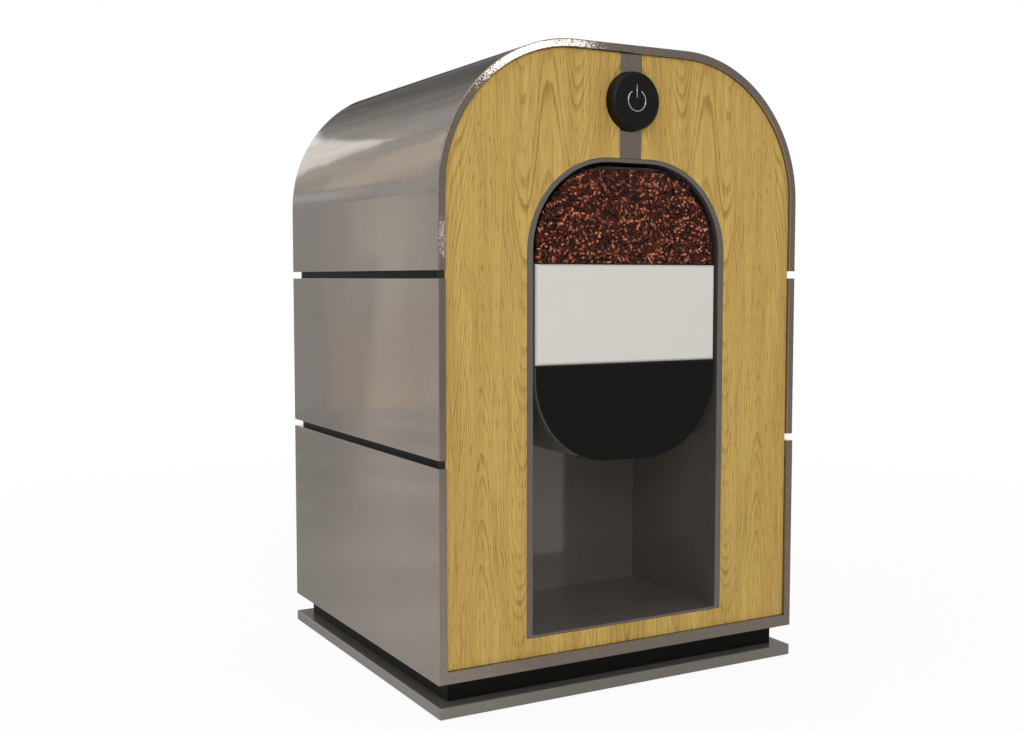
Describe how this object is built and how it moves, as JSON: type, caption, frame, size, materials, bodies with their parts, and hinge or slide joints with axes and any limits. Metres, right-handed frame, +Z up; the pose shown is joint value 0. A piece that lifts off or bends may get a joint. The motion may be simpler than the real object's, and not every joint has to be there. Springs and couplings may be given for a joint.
{
  "type": "coffee maker",
  "caption": "Upright coffee maker with a round-topped shell, oak fascia, bean window, white grinder cover, black brewing drawer, cup niche and round power button.",
  "frame": {"origin": "on the table, under the middle of the box that holds the whole object", "axes": "+Z up, the front faces -Y, +X to the right seen from the front"},
  "size_m": [0.28, 0.266, 0.4228],
  "materials": {
    "shell_paint": "metallic taupe lacquer",
    "black_plastic": "fine matt",
    "oak": "oiled oak, black edges",
    "dark_plastic": "satin",
    "white_plastic": "satin",
    "clear_glass": "clear",
    "beans": "roasted",
    "rubber": "matt",
    "steel": "brushed",
    "burr_steel": "hardened",
    "gear_plastic": "natural",
    "motor_metal": "satin",
    "aluminium": "cast",
    "hose_rubber": "silicone",
    "board": "printed board",
    "tank_plastic": "smoked clear"
  },
  "bodies": {
    "body": {"foot_front_left": "rubber", "foot_front_right": "rubber", "foot_rear_left": "rubber", "foot_rear_right": "rubber", "base_plate": "shell_paint", "plinth": "black_plastic", "lower_shell": "shell_paint", "left_shell_plate": "shell_paint", "right_shell_plate": "shell_paint", "upper_shell": "shell_paint", "lid_pin": "steel", "inner_casing": "black_plastic", "front_frame": "black_plastic", "wood_panel_left": "oak", "wood_panel_right": "oak", "centre_strip_upper": "shell_paint", "centre_strip_lower": "shell_paint", "button_housing": "black_plastic", "power_switch": "black_plastic", "niche_liner": "shell_paint", "pod_housing": "dark_plastic", "bean_window": "clear_glass", "bean_charge": "beans", "grinder_cover": "white_plastic", "roast_chamber": "steel", "agitator_motor": "motor_metal", "gate_solenoid": "motor_metal", "hopper_funnel": "dark_plastic", "air_heater": "steel", "blower_housing": "black_plastic", "blower_motor": "motor_metal", "grinder_housing": "dark_plastic", "ring_burr": "burr_steel", "grinder_motor": "motor_metal", "grounds_chute": "dark_plastic", "shower_head": "steel", "coffee_spout": "black_plastic", "tank_dock": "black_plastic", "water_pump": "motor_metal", "water_heater": "aluminium", "supply_hose": "hose_rubber", "pressure_hose": "hose_rubber", "brew_hose": "hose_rubber", "control_board": "board", "rear_cover": "black_plastic", "cover_screws": "steel", "power_inlet": "black_plastic"},
    "button": {"power_button": "black_plastic"},
    "lid": {"bean_lid": "shell_paint"},
    "gate": {"bean_gate": "steel"},
    "stirrer": {"agitator": "steel"},
    "fan": {"blower_wheel": "black_plastic"},
    "burr": {"inner_burr": "burr_steel", "burr_gear": "gear_plastic"},
    "pinion": {"motor_pinion": "gear_plastic"},
    "drawer": {"brew_front": "black_plastic", "basket_carrier": "black_plastic", "filter_basket": "black_plastic"},
    "tank": {"water_tank": "tank_plastic", "tank_handle": "black_plastic"}
  },
  "joints": [
    {"name": "button_press", "type": "slide", "parent": "body", "child": "button", "axis": [0, 1, 0], "range_m": [0, 0.0015], "stiffness_N_per_m": 900},
    {"name": "lid_hinge", "type": "hinge", "parent": "body", "child": "lid", "pos_m": [0, 0.0077, 0.4205], "axis": [-1, 0, 0], "range_deg": [0, 95]},
    {"name": "gate_slide", "type": "slide", "parent": "body", "child": "gate", "axis": [0, 1, 0], "range_m": [0, 0.03]},
    {"name": "stirrer_spin", "type": "hinge", "parent": "body", "child": "stirrer", "pos_m": [0, -0.068, 0.3125], "axis": [0, 1, 0], "continuous": true},
    {"name": "fan_spin", "type": "hinge", "parent": "body", "child": "fan", "pos_m": [-0.044, 0.08, 0.3415], "axis": [1, 0, 0], "continuous": true},
    {"name": "burr_spin", "type": "hinge", "parent": "body", "child": "burr", "pos_m": [-0.022, -0.074, 0.24], "axis": [0, 0, 1], "continuous": true},
    {"name": "pinion_spin", "type": "hinge", "parent": "body", "child": "pinion", "pos_m": [0.023, -0.074, 0.224], "axis": [0, 0, 1], "continuous": true},
    {"name": "drawer_slide", "type": "slide", "parent": "body", "child": "drawer", "axis": [0, -1, 0], "range_m": [0, 0.088]},
    {"name": "tank_slide", "type": "slide", "parent": "body", "child": "tank", "axis": [0, 1, 0], "range_m": [0, 0.076]}
  ],
  "couplings": [
    {"joint": "pinion_spin", "follows": "burr_spin", "ratio": -3.2857}
  ]
}
